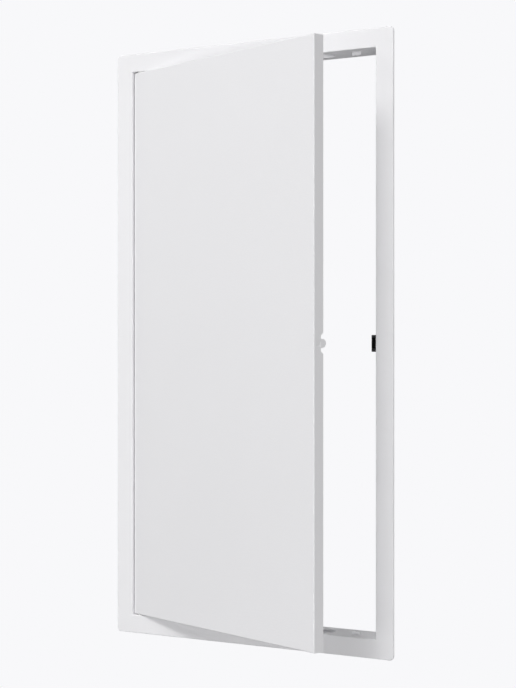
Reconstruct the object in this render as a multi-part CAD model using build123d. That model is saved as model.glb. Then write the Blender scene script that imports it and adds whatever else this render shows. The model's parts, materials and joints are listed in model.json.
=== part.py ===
# White steel access panel: a flanged frame of four mitred rails, a folded tray door on
# concealed pins, and a black catch that takes the tongue on the door's free edge.
# Millimetres, X to the right, Y into the wall, Z up, the front looks along -Y.
# The origin is in the middle of the sill rail's seat on the wall.
import os
from math import sqrt
from build123d import *

# frame
frame_width = 330.0        # over the flanges
frame_height = 629.0
flange_width = 19.5        # from the outer edge to the clear opening
frame_depth = 38.0         # from the flange's front to the back of the rails
frame_sheet = 0.8
flange_build = 2.6         # how far the flange stands off the wall
hem_width = 9.0            # folded safety edge that lies on the wall
corner_radius = 4.5
fold_radius = 0.2          # inside every fold of the sheets

# door
door_side_gap = 1.6        # to each jamb, with the door shut
door_end_gap = 0.8         # to the head and the sill
door_depth = 12.0
door_sheet = 0.8
open_angle = 20.0          # as the photograph shows it

# hinge
pin_inset = 8.0            # from the door's hinge edge
pin_setback = 4.0          # from the door's face
pin_radius = 2.0
pin_running_clearance = 0.05
pin_reach = 5.0            # past the door's folded edge
pin_head_radius = 2.9
pin_head_height = 1.4
pin_head_bevel = 0.7
washer_radius = 3.4
washer_clearance = 0.1

# screw fixings in the head and sill
fixing_offset = 82.0       # to each side of the middle
fixing_setback = 18.0      # from the flange's front
fixing_hole_radius = 2.5
dimple_radius = 10.0
dimple_floor_radius = 9.4
dimple_depth = 3.0

# door stops lanced out of the head and sill
stop_offset = 118.0
stop_width = 9.5
stop_drop = 3.4
stop_root = 2.0            # length of the stop's strip before its fold
stop_clearance = 0.6       # behind the shut door

# latch
notch_height = 20.5
notch_depth = 3.0
notch_slope = 2.6
groove_start = 3.0         # pressed groove in line with the tongue, behind the door's face
groove_depth = 0.6
groove_low = 2.2           # its deepest line, below the tongue's middle
groove_rise = 6.0          # gentle side, upwards from that line
groove_fall = 0.9          # steep side, downwards
tongue_height = 8.8
tongue_sheet = 2.0
tongue_foot = 2.5          # where it starts, behind the door's face
tongue_reach = 15.8        # where it ends, behind the door's face
tongue_joggle = 2.0        # length over which it comes out flush with the door's edge
tongue_edge = 0.6
catch_height = 17.0
catch_width = 9.4          # out from the latch jamb
catch_setback = 10.0       # its front, behind the flange's front
catch_length = 22.0
catch_edge = 0.8
mouth_clearance = 0.6      # above and below the tongue
mouth_lead = 1.5           # bevel on the lips
mouth_depth = 10.0
mouth_wall = 1.2           # left standing on the opening's side

# sizes that follow
opening_width = frame_width - 2 * flange_width
opening_height = frame_height - 2 * flange_width
door_width = opening_width - 2 * door_side_gap
door_height = opening_height - 2 * door_end_gap
front = -flange_build
back = front + frame_depth
half_open_width = opening_width / 2
half_open_height = opening_height / 2
half_door_width = door_width / 2
half_door_height = door_height / 2
door_rear = front + door_depth
notch_floor = door_rear - notch_depth
pin_x = -half_door_width + pin_inset
pin_y = front + pin_setback
stop_front = door_rear + stop_clearance
frame_middle = frame_height / 2 - hem_width / 2   # height of the panel's middle
swing = Axis((pin_x, pin_y, 0), (0, 0, 1))


def slab(outline, y_front, y_back):
    # an outline drawn in X and Z, as a plate between two depths
    return Pos(0, y_back, 0) * extrude(Plane.XZ * outline, y_back - y_front)


def bar(outline, x_low, x_high):
    # an outline drawn in Y and Z, as a bar along X
    return extrude(Plane.YZ.offset(x_low) * outline, x_high - x_low)


def upright(radius, x, y, z_low, z_high):
    return Pos(x, y, z_low) * Cylinder(radius, z_high - z_low, align=(Align.CENTER, Align.CENTER, Align.MIN))


def block(x_low, x_high, y_low, y_high, z_low, z_high):
    corner = (Align.MIN, Align.MIN, Align.MIN)
    return Pos(x_low, y_low, z_low) * Box(x_high - x_low, y_high - y_low, z_high - z_low, align=corner)


def eased(plate, radius):
    # a plate with both of its rims rounded over
    faces = plate.faces().sort_by(Axis.Y)
    return fillet(faces[0].edges() + faces[-1].edges(), radius)


def frame_ring():
    # all four rails as one ring, cut apart at the mitres later
    outer_fold = fold_radius + frame_sheet
    rim = RectangleRounded(frame_width, frame_height, corner_radius)
    inner_rim = offset(rim, -frame_sheet)
    plate = eased(slab(rim, front, 0), outer_fold)
    plate -= eased(slab(inner_rim, front + frame_sheet, -frame_sheet), fold_radius)
    behind = Rectangle(frame_width - 2 * hem_width, frame_height - 2 * hem_width)
    plate -= slab(behind, front + frame_sheet, 1)
    opening = Rectangle(opening_width, opening_height)
    ring = plate + slab(offset(opening, frame_sheet, kind=Kind.INTERSECTION), front, back)
    ring -= slab(opening, front - 1, back + 1)
    flange_back = ring.faces().filter_by(Axis.Y).sort_by(Axis.Y)[1]
    ring = fillet(flange_back.inner_wires()[0].edges(), fold_radius)
    flange_front = ring.faces().filter_by(Axis.Y).sort_by(Axis.Y)[0]
    return fillet(flange_front.inner_wires()[0].edges(), outer_fold)


def mitred(ring, along_x):
    # the head's or the latch jamb's share of the ring
    spread = 2 * flange_width
    if along_x:
        share = Polygon(
            (-half_open_width, half_open_height),
            (half_open_width, half_open_height),
            (half_open_width + spread, half_open_height + spread),
            (-half_open_width - spread, half_open_height + spread),
            align=None,
        )
    else:
        share = Polygon(
            (half_open_width, half_open_height),
            (half_open_width, -half_open_height),
            (half_open_width + spread, -half_open_height - spread),
            (half_open_width + spread, half_open_height + spread),
            align=None,
        )
    return ring & slab(share, front - 1, back + 1)


def dimpled(rail, x):
    # a screw hole in the floor of a pressed dimple, one sheet thick all over
    face = half_open_height
    slope = (dimple_radius - dimple_floor_radius) / dimple_depth
    skin = frame_sheet * (sqrt(1 + slope * slope) - slope)
    foot = (Align.CENTER, Align.CENTER, Align.MIN)
    spot = Pos(x, front + fixing_setback, face)
    boss = Cone(dimple_radius + skin, dimple_floor_radius + skin, dimple_depth, align=foot)
    rail += spot * Pos(0, 0, frame_sheet) * boss
    rail -= spot * Cone(dimple_radius, dimple_floor_radius, dimple_depth, align=foot)
    return rail - spot * upright(fixing_hole_radius, 0, 0, 0, frame_sheet + dimple_depth + 1)


def with_stop(rail, x):
    # a strip lanced out of the rail and folded down, and the window that it leaves
    face = half_open_height
    left = x - stop_width / 2
    right = x + stop_width / 2
    root = stop_front - stop_root
    window_back = stop_front + frame_sheet + stop_drop
    rail -= block(left, right, root, window_back, face - 1, face + frame_sheet + 1)
    mid_sheet = face + frame_sheet / 2
    mid_stop = stop_front + frame_sheet / 2
    path = FilletPolyline(
        (root, mid_sheet),
        (mid_stop, mid_sheet),
        (mid_stop, face - stop_drop),
        radius=fold_radius + frame_sheet / 2,
    )
    return rail + bar(trace(path, frame_sheet), left, right)


def head_rail(ring):
    rail = mitred(ring, True)
    for side in (-1, 1):
        rail = dimpled(rail, side * fixing_offset)
        rail = with_stop(rail, side * stop_offset)
    return rail - upright(pin_radius, pin_x, pin_y, half_open_height - 1, half_open_height + frame_sheet + 1)


def hinge_pin():
    # the upper pin, riveted into the head and reaching through the door's folded edge
    low = half_door_height - door_sheet - pin_reach
    outer = half_open_height + frame_sheet
    shank = upright(pin_radius, pin_x, pin_y, low, outer)
    shank = chamfer(shank.faces().sort_by(Axis.Z)[0].edges(), pin_radius / 4)
    head = upright(pin_head_radius, pin_x, pin_y, outer, outer + pin_head_height)
    return shank + chamfer(head.faces().sort_by(Axis.Z)[-1].edges(), pin_head_bevel)


def hinge_washer():
    # keeps the door's edge off the rail, and carries the door at the foot
    low = half_door_height + washer_clearance
    ring = upright(washer_radius, pin_x, pin_y, low, half_open_height)
    return ring - upright(pin_radius, pin_x, pin_y, low - 1, half_open_height + 1)


def door_tray():
    shell = slab(Rectangle(door_width, door_height), front, door_rear)
    shell = fillet(shell.faces().sort_by(Axis.Y)[0].edges(), fold_radius + door_sheet)
    inside = Rectangle(door_width - 2 * door_sheet, door_height - 2 * door_sheet)
    hollow = slab(inside, front + door_sheet, door_rear + 1)
    shell -= fillet(hollow.faces().sort_by(Axis.Y)[0].edges(), fold_radius)
    hole = pin_radius + pin_running_clearance
    shell -= upright(hole, pin_x, pin_y, -half_door_height - 1, half_door_height + 1)
    notch = Polygon(
        (door_rear + 1, -notch_height / 2),
        (door_rear + 1, notch_height / 2),
        (door_rear, notch_height / 2),
        (notch_floor, notch_height / 2 - notch_slope),
        (notch_floor, -notch_height / 2 + notch_slope),
        (door_rear, -notch_height / 2),
        align=None,
    )
    shell -= bar(notch, half_door_width - 2 * door_sheet, half_door_width + 1)
    groove = Polygon(
        (half_door_width, groove_rise - groove_low),
        (half_door_width - groove_depth, -groove_low),
        (half_door_width, -groove_low - groove_fall),
        align=None,
    )
    return shell - slab(groove, front + groove_start, notch_floor)


def latch_tongue():
    # a strip behind the free edge that comes out flush with it in the notch, round at its tip
    inner = half_door_width - door_sheet
    foot = front + tongue_foot
    tip = front + tongue_reach
    plan = Polygon(
        (inner, foot),
        (inner, notch_floor),
        (half_door_width, notch_floor),
        (half_door_width, tip),
        (half_door_width - tongue_sheet, tip),
        (half_door_width - tongue_sheet, notch_floor + tongue_joggle),
        (inner - tongue_sheet, notch_floor),
        (inner - tongue_sheet, foot),
        align=None,
    )
    strip = Pos(0, 0, -tongue_height / 2) * extrude(plan, tongue_height)
    round_end = tongue_height / 2
    straight = tip - round_end
    side = Pos((foot + straight) / 2, 0) * Rectangle(straight - foot, tongue_height)
    side += Pos(straight, 0) * Circle(round_end)
    strip &= bar(side, inner - 2 * tongue_sheet, half_door_width + 1)
    nose = strip.faces().sort_by(Axis.X)[-1].edges().sort_by(Axis.Y)[1:]
    return fillet(nose, tongue_edge)


def catch():
    x_low = half_open_width - catch_width
    y_low = front + catch_setback
    body = block(x_low, half_open_width, y_low, y_low + catch_length, -catch_height / 2, catch_height / 2)
    free = body.faces().sort_by(Axis.X)[0].edges() + body.edges().filter_by(Axis.X).group_by(Axis.Y)[0]
    body = fillet(free, catch_edge)
    half = tongue_height / 2 + mouth_clearance
    mouth = Polygon(
        (y_low - mouth_lead, -half - 2 * mouth_lead),
        (y_low + mouth_lead, -half),
        (y_low + mouth_depth, -half),
        (y_low + mouth_depth, half),
        (y_low + mouth_lead, half),
        (y_low - mouth_lead, half + 2 * mouth_lead),
        align=None,
    )
    return body - bar(mouth, x_low + mouth_wall, half_open_width + 1)


ring = frame_ring()
head = head_rail(ring)
jamb = mitred(ring, False)
pin = hinge_pin()
washer = hinge_washer()
fixed = {
    "frame_head": head,
    "frame_sill": mirror(head, Plane.XY),
    "frame_hinge_jamb": mirror(jamb, Plane.YZ),
    "frame_latch_jamb": jamb,
    "hinge_pin_top": pin,
    "hinge_pin_bottom": mirror(pin, Plane.XY),
    "hinge_washer_top": washer,
    "hinge_washer_bottom": mirror(washer, Plane.XY),
    "latch_catch": catch(),
}
swinging = {
    "door_tray": door_tray(),
    "latch_tongue": latch_tongue(),
}

os.makedirs("parts", exist_ok=True)
raised = Pos(0, 0, frame_middle)
for name, shape in fixed.items():
    export_step(raised * shape, f"parts/{name}.step")
for name, shape in swinging.items():
    export_step(raised * shape.rotate(swing, -open_angle), f"parts/{name}.step")
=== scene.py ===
import json
import math
import bpy
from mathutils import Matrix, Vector


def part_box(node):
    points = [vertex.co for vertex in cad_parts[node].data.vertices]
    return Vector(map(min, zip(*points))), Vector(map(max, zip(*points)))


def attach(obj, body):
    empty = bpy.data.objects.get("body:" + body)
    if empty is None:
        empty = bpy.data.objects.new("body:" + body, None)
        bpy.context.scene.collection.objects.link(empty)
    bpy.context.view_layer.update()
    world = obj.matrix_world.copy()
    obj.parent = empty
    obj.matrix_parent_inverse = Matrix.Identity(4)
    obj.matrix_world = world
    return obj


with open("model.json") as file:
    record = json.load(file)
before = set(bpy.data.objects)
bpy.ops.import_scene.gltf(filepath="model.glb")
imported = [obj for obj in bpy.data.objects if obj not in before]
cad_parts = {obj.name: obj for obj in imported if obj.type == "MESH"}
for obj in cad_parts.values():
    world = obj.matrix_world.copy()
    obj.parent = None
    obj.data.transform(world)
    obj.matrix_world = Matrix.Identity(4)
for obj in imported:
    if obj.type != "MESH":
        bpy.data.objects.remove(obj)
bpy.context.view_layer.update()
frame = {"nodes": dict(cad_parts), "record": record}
nodes = frame["nodes"]
print("frame loaded:", len(nodes), "nodes")

scene = bpy.context.scene
scene.view_settings.view_transform = "Standard"

railLow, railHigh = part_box("frame_latch_jamb")
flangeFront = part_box("frame_head")[0][1]
panelMiddle = Vector((0, flangeFront, (railLow[2] + railHigh[2]) / 2))


# shader sockets that take part in Python arithmetic
class Wire:
    def __init__(self, tree, socket):
        self.tree = tree
        self.socket = socket

    def mathNode(self, operation, first, second):
        return self.tree.add("ShaderNodeMath", {"operation": operation}, {0: first, 1: second})

    def __add__(self, other):
        return self.mathNode("ADD", self, other)

    def __radd__(self, other):
        return self.mathNode("ADD", other, self)

    def __sub__(self, other):
        return self.mathNode("SUBTRACT", self, other)

    def __rsub__(self, other):
        return self.mathNode("SUBTRACT", other, self)

    def __mul__(self, other):
        return self.mathNode("MULTIPLY", self, other)

    def __rmul__(self, other):
        return self.mathNode("MULTIPLY", other, self)

    def __truediv__(self, other):
        return self.mathNode("DIVIDE", self, other)

    def __rtruediv__(self, other):
        return self.mathNode("DIVIDE", other, self)

    def __neg__(self):
        return self.mathNode("MULTIPLY", self, -1.0)


class Tree:
    def __init__(self, nodeTree):
        self.tree = nodeTree
        self.tree.nodes.clear()

    def add(self, kind, settings=None, sockets=None, out=0):
        node = self.tree.nodes.new(kind)
        for key, value in (settings or {}).items():
            setattr(node, key, value)
        for key, value in (sockets or {}).items():
            wires = value if isinstance(value, list) else [value]     # a socket may take several links
            for wire in wires:
                if isinstance(wire, Wire):
                    self.tree.links.new(wire.socket, node.inputs[key])
                else:
                    node.inputs[key].default_value = wire
        return Wire(self, node.outputs[out]) if node.outputs else node


def paint(name, build):                       # a material whose surface is made by build(tree, place)
    material = bpy.data.materials.new(name)
    material.use_nodes = True
    tree = Tree(material.node_tree)
    place = tree.add("ShaderNodeTexCoord", out="Object")
    shader = build(tree, place)
    tree.add("ShaderNodeOutputMaterial", sockets={"Surface": shader})
    return material


# what the finishes share
def noise(tree, place, scale, detail):
    return tree.add("ShaderNodeTexNoise", sockets={"Vector": place, "Scale": scale, "Detail": detail})


def blend(tree, share, first, second):
    return tree.add("ShaderNodeMix", {"data_type": "RGBA"},
                    {"Factor": share, "A": first, "B": second}, out="Result")


def relief(tree, height, look):
    return tree.add("ShaderNodeBump", sockets={
        "Height": height, "Strength": look["reliefStrength"], "Distance": look["reliefHeight"]})


powderCoatLook = {
    "thin": (0.845, 0.843, 0.858, 1),         # where the coat lies a little thinner
    "full": (0.866, 0.863, 0.880, 1),
    "patchScale": 9.0,                        # slow drift over the sheet, per metre
    "peelScale": 620.0,                       # orange peel, about 1.6 mm
    "grainScale": 2600.0,                     # cured powder grain
    "peelShare": 0.75,                        # of the relief, the rest is grain
    "reliefStrength": 0.35,
    "reliefHeight": 0.0003,
    "roughness": 0.52,
    "roughnessDrift": 0.10,
    "specular": 0.12,                         # a satin coat, with little shine even edge-on
}


def buildPowderCoat(tree, place):
    look = powderCoatLook
    patch = noise(tree, place, look["patchScale"], detail=2.0)
    peel = noise(tree, place, look["peelScale"], detail=1.0)
    grain = noise(tree, place, look["grainScale"], detail=2.0)
    height = peel * look["peelShare"] + grain * (1 - look["peelShare"])
    return tree.add("ShaderNodeBsdfPrincipled", sockets={
        "Base Color": blend(tree, patch, look["thin"], look["full"]),
        "Roughness": look["roughness"] + (grain - 0.5) * look["roughnessDrift"],
        "Specular IOR Level": look["specular"],
        "Normal": relief(tree, height, look)})


blackPlasticLook = {
    "base": (0.012, 0.012, 0.013, 1),
    "worn": (0.022, 0.022, 0.024, 1),
    "grainScale": 1900.0,
    "reliefStrength": 0.4,
    "reliefHeight": 0.0002,
    "roughness": 0.46,
    "roughnessDrift": 0.2,
}


def buildBlackPlastic(tree, place):
    look = blackPlasticLook
    grain = noise(tree, place, look["grainScale"], detail=3.0)
    return tree.add("ShaderNodeBsdfPrincipled", sockets={
        "Base Color": blend(tree, grain, look["base"], look["worn"]),
        "Roughness": look["roughness"] + (grain - 0.5) * look["roughnessDrift"],
        "Normal": relief(tree, grain, look)})


platedSteelLook = {
    "dull": (0.50, 0.50, 0.51, 1),
    "bright": (0.68, 0.68, 0.69, 1),
    "drawScale": (2400.0, 2400.0, 160.0),     # turning and drawing marks run along the pin
    "reliefStrength": 0.25,
    "reliefHeight": 0.0001,
    "roughness": 0.30,
    "roughnessDrift": 0.15,
}


def buildPlatedSteel(tree, place):
    look = platedSteelLook
    drawn = tree.add("ShaderNodeMapping", sockets={"Vector": place, "Scale": look["drawScale"]})
    marks = noise(tree, drawn, 1.0, detail=3.0)
    return tree.add("ShaderNodeBsdfPrincipled", sockets={
        "Base Color": blend(tree, marks, look["dull"], look["bright"]),
        "Metallic": 1.0,
        "Roughness": look["roughness"] + marks * look["roughnessDrift"],
        "Normal": relief(tree, marks, look)})


nylonLook = {
    "clear": (0.74, 0.74, 0.70, 1),
    "milky": (0.82, 0.82, 0.80, 1),
    "flowScale": 420.0,
    "reliefStrength": 0.2,
    "reliefHeight": 0.0002,
    "roughness": 0.5,
    "roughnessDrift": 0.1,
}


def buildNylon(tree, place):
    look = nylonLook
    flow = noise(tree, place, look["flowScale"], detail=2.0)
    return tree.add("ShaderNodeBsdfPrincipled", sockets={
        "Base Color": blend(tree, flow, look["clear"], look["milky"]),
        "Roughness": look["roughness"] + flow * look["roughnessDrift"],
        "Normal": relief(tree, flow, look)})


finishes = {                                  # by the record's material slots
    "white_powder_coat": paint("powderCoat", buildPowderCoat),
    "black_plastic": paint("blackPlastic", buildBlackPlastic),
    "plated_steel": paint("platedSteel", buildPlatedSteel),
    "white_nylon": paint("nylon", buildNylon),
}
for part in frame["record"]["subparts"]:
    mesh = nodes[part["node"]].data
    mesh.materials.clear()
    mesh.materials.append(finishes[part["material_slot"]])
print("finishes laid on", len(nodes), "nodes")

sharpFrom = math.radians(40)                  # edges that turn more than this stay crisp


# runs a Geometry Nodes tree once and keeps what it makes as a plain mesh
def growPiece(name, sizes, build, body, slot):
    group = bpy.data.node_groups.new(name, "GeometryNodeTree")
    keys = {}
    for label, value in sizes.items():
        kind = "NodeSocketInt" if isinstance(value, int) else "NodeSocketFloat"
        keys[label] = group.interface.new_socket(label, in_out="INPUT", socket_type=kind).identifier
    group.interface.new_socket("Geometry", in_out="OUTPUT", socket_type="NodeSocketGeometry")
    tree = Tree(group)
    shape = build(tree, {label: tree.add("NodeGroupInput", out=label) for label in sizes})
    whole = tree.add("GeometryNodeRealizeInstances", sockets={"Geometry": shape})
    coated = tree.add("GeometryNodeSetMaterial", sockets={"Geometry": whole, "Material": finishes[slot]})
    tree.add("NodeGroupOutput", sockets={"Geometry": coated})

    carrier = bpy.data.objects.new(name + "Carrier", bpy.data.meshes.new(name + "Carrier"))
    scene.collection.objects.link(carrier)
    grower = carrier.modifiers.new(name, "NODES")
    grower.node_group = group
    for label, value in sizes.items():
        grower[keys[label]] = value
    mesh = bpy.data.meshes.new_from_object(carrier.evaluated_get(bpy.context.evaluated_depsgraph_get()))
    mesh.shade_smooth()
    mesh.set_sharp_from_angle(angle=sharpFrom)
    bpy.data.objects.remove(carrier)          # its modifier goes with it
    piece = bpy.data.objects.new(name, mesh)
    scene.collection.objects.link(piece)
    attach(piece, body)
    print(name, "grown:", len(mesh.polygons), "faces")


def point(tree, x, y, z):
    return tree.add("ShaderNodeCombineXYZ", sockets={"X": x, "Y": y, "Z": z})


sheet = 0.0008                                # of the rails
flangeWidth = railHigh[0] - railLow[0]

weldTacks = {                                 # coated beads up the outer corner seams, behind the flange
    "tacksPerSeam": 2,
    "ripplesPerTack": 6,
    "ripplePitch": 0.0010,
    "beadRadius": 0.0011,
    "rippleLength": 0.0010,
    "rippleRoundness": 3,                     # subdivisions of each ripple's ball
    "proud": 0.0004,                          # from the corner's edge out to the bead's middle, each way
    "unevenness": 0.16,
    "endMargin": 0.006,                       # from the seam's ends to the first and last tack
    "seed": 7,
}


def buildWeldTacks(tree, given):
    low, high = 1 - given["unevenness"], 1 + given["unevenness"]
    radius, length = given["beadRadius"], given["rippleLength"]
    size = tree.add("FunctionNodeRandomValue", {"data_type": "FLOAT_VECTOR"}, {
        "Min": point(tree, radius * low, length * low, radius * low),
        "Max": point(tree, radius * high, length * high, radius * high), "Seed": given["seed"]})
    ripple = tree.add("GeometryNodeMeshIcoSphere", sockets={
        "Radius": 1.0, "Subdivisions": given["rippleRoundness"]})
    row = tree.add("GeometryNodeMeshLine", sockets={
        "Count": given["ripplesPerTack"], "Offset": point(tree, 0.0, given["ripplePitch"], 0.0)})
    tackSpan = (given["ripplesPerTack"] - 1) * given["ripplePitch"]
    step = (given["seamLength"] - 2 * given["endMargin"] - tackSpan) / (given["tacksPerSeam"] - 1)
    seams = []
    for across in (-1, 1):
        for up in (-1, 1):
            start = point(tree, across * (given["seamAcross"] + given["proud"]), given["endMargin"],
                          given["middleHeight"] + up * (given["seamUp"] + given["proud"]))
            seams.append(tree.add("GeometryNodeMeshLine", sockets={
                "Count": given["tacksPerSeam"], "Start Location": start,
                "Offset": point(tree, 0.0, step, 0.0)}))
    places = tree.add("GeometryNodeJoinGeometry", sockets={"Geometry": seams})
    tacks = tree.add("GeometryNodeInstanceOnPoints", sockets={"Points": places, "Instance": row})
    rows = tree.add("GeometryNodeRealizeInstances", sockets={"Geometry": tacks})
    return tree.add("GeometryNodeInstanceOnPoints", sockets={
        "Points": rows, "Instance": ripple, "Scale": size})


growPiece("weldTacks", {
    **weldTacks,
    "seamAcross": railLow[0] + sheet,
    "seamUp": (railHigh[2] - railLow[2]) / 2 - flangeWidth + sheet,
    "seamLength": railHigh[1],
    "middleHeight": panelMiddle.z,
}, buildWeldTacks, "frame", "white_powder_coat")


catchLow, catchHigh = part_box("latch_catch")
catchScrews = {                               # two domed cross-recess screws behind the catch's mouth
    "headRadius": 0.0024,
    "headHeight": 0.0014,
    "headSegments": 40,
    "headRings": 24,
    "spread": 0.0086,                         # between their middles
    "fromBack": 0.006,                        # in front of the catch's rear end
    "recessLength": 0.0027,
    "recessWidth": 0.0007,
    "recessDepth": 0.0008,
    "turn": 1.4,                              # radians, the most that a recess is turned
    "seed": 3,
}


def buildCatchScrews(tree, given):
    ball = tree.add("GeometryNodeMeshUVSphere", sockets={
        "Segments": given["headSegments"], "Rings": given["headRings"], "Radius": 1.0})
    dome = tree.add("GeometryNodeTransform", sockets={
        "Geometry": ball,
        "Scale": point(tree, given["headHeight"], given["headRadius"], given["headRadius"])})
    crown = point(tree, -given["headHeight"], 0.0, 0.0)
    arms = []
    for wide, tall in (("recessLength", "recessWidth"), ("recessWidth", "recessLength")):
        arm = tree.add("GeometryNodeMeshCube", sockets={
            "Size": point(tree, 2 * given["recessDepth"], given[wide], given[tall])})
        arms.append(tree.add("GeometryNodeTransform", sockets={"Geometry": arm, "Translation": crown}))
    head = tree.add("GeometryNodeMeshBoolean", {"operation": "DIFFERENCE"}, {"Mesh 1": dome, "Mesh 2": arms})
    places = tree.add("GeometryNodeMeshLine", sockets={
        "Count": 2, "Offset": point(tree, 0.0, 0.0, given["spread"]),
        "Start Location": point(tree, given["faceX"], given["back"] - given["fromBack"],
                                given["middleHeight"] - given["spread"] * 0.5)})
    turned = tree.add("FunctionNodeRandomValue", {"data_type": "FLOAT_VECTOR"}, {
        "Min": (0, 0, 0), "Max": point(tree, given["turn"], 0.0, 0.0), "Seed": given["seed"]})
    return tree.add("GeometryNodeInstanceOnPoints", sockets={
        "Points": places, "Instance": head, "Rotation": turned})


growPiece("catchScrews", {
    **catchScrews,
    "faceX": catchLow[0],
    "back": catchHigh[1],
    "middleHeight": panelMiddle.z,
}, buildCatchScrews, "frame", "plated_steel")


photoCamera = {
    "toRight": 0.7915,                        # from the panel's middle, metres
    "inFront": 1.3937,
    "below": 0.0006,
    "turn": 29.24,                            # degrees, towards the hinge side
    "focalPixels": 1538.0,
    "imageHeight": 688.0,
    "sensor": 36.0,
}


def placeCamera():
    shot = photoCamera
    data = bpy.data.cameras.new("photoCamera")
    data.sensor_fit = "VERTICAL"
    data.sensor_height = shot["sensor"]
    data.lens = shot["focalPixels"] / shot["imageHeight"] * shot["sensor"]
    camera = bpy.data.objects.new("photoCamera", data)
    camera.location = panelMiddle + Vector((shot["toRight"], -shot["inFront"], -shot["below"]))
    camera.rotation_euler = (math.radians(90), 0, math.radians(shot["turn"]))      # held level
    scene.collection.objects.link(camera)
    scene.camera = camera


studio = {
    "backdrop": (0.939, 0.939, 0.956, 1),
    "ambient": (1.0, 1.0, 1.0, 1),
    "ambientStrength": 0.015,
    "floorDrop": 0.90,                        # below the panel's foot
    "floorRadius": 1.7,
    "floorSides": 96,
    "floorColour": (0.62, 0.62, 0.63, 1),
    "floorGlow": 0.7,                         # share of the backdrop's white that the camera sees in it
    "floorFade": (0.7, 0.9),                  # where the floor starts to thin out, and over what length
    "lights": [                               # name, bearing to the right, height angle, size, watts
        ("sideRight", 38.0, -5.0, 1.35, 58.0),
        ("lowRight", 60.0, -15.0, 1.35, 30.7),
        ("key", -12.0, 42.0, 0.9, 53.0),
        ("overFront", 0.0, 52.0, 1.35, 21.5),
        ("highFront", 0.0, 32.0, 1.35, 19.0),
        ("softLeft", -30.0, 38.0, 1.35, 34.0),
        ("steepLeft", -15.0, 65.0, 1.35, 20.6),
        ("frontLeft", -32.0, 10.0, 1.35, 11.9),
        ("lowLeft", -25.0, -10.0, 1.35, 14.7),
        ("sideLeft", -92.0, 8.0, 1.35, 21.0),
        ("overBack", 180.0, 60.0, 1.35, 36.9),
        ("backRight", 135.0, 5.0, 1.35, 48.0),
        ("backLeft", -135.0, 5.0, 1.35, 32.0),
    ],
    "lightDistance": 4.5,
}


def lightStudio():
    world = bpy.data.worlds.new("studioWorld")
    scene.world = world
    world.use_nodes = True
    tree = Tree(world.node_tree)
    camera, glossy, through = [tree.add("ShaderNodeLightPath", out=ray)
                               for ray in ("Is Camera Ray", "Is Glossy Ray", "Is Transmission Ray")]
    shown = tree.add("ShaderNodeBackground", sockets={"Color": studio["backdrop"], "Strength": 1.0})
    soft = tree.add("ShaderNodeBackground", sockets={
        "Color": studio["ambient"], "Strength": studio["ambientStrength"]})
    mix = tree.add("ShaderNodeMixShader", sockets={0: camera + glossy + through, 1: soft, 2: shown})
    tree.add("ShaderNodeOutputWorld", sockets={"Surface": mix})
    for name, bearing, height, size, watts in studio["lights"]:
        data = bpy.data.lights.new(name, "AREA")
        data.shape = "DISK"
        data.size = size
        data.energy = watts
        lamp = bpy.data.objects.new(name, data)
        across, up = math.radians(bearing), math.radians(height)
        aim = Vector((math.sin(across) * math.cos(up), -math.cos(across) * math.cos(up), math.sin(up)))
        lamp.location = panelMiddle + aim * studio["lightDistance"]
        lamp.rotation_euler = aim.to_track_quat("Z", "Y").to_euler()
        scene.collection.objects.link(lamp)


def buildFloor(tree, place):                  # pale and matt, fading out towards its rim
    matt = tree.add("ShaderNodeBsdfDiffuse", sockets={"Color": studio["floorColour"]})
    white = tree.add("ShaderNodeEmission", sockets={"Color": studio["backdrop"], "Strength": 1.0})
    clear = tree.add("ShaderNodeBsdfTransparent")
    ownSight = tree.add("ShaderNodeLightPath", out="Is Camera Ray")
    lit = tree.add("ShaderNodeMixShader", sockets={0: ownSight * studio["floorGlow"], 1: matt, 2: white})
    reach = tree.add("ShaderNodeVectorMath", {"operation": "LENGTH"}, {0: place}, out="Value")
    start, length = studio["floorFade"]
    thin = tree.add("ShaderNodeClamp", sockets={"Value": (reach - start) / length})
    return tree.add("ShaderNodeMixShader", sockets={0: thin, 1: lit, 2: clear})


def layFloor():
    bpy.ops.mesh.primitive_circle_add(
        vertices=studio["floorSides"], radius=studio["floorRadius"], fill_type="NGON")
    floor = bpy.context.object
    floor.name = "studioFloor"
    floor.location = (0, 0, railLow[2] - studio["floorDrop"])
    floor.data.materials.append(paint("studioFloor", buildFloor))


placeCamera()
lightStudio()
layFloor()
print("studio ready")
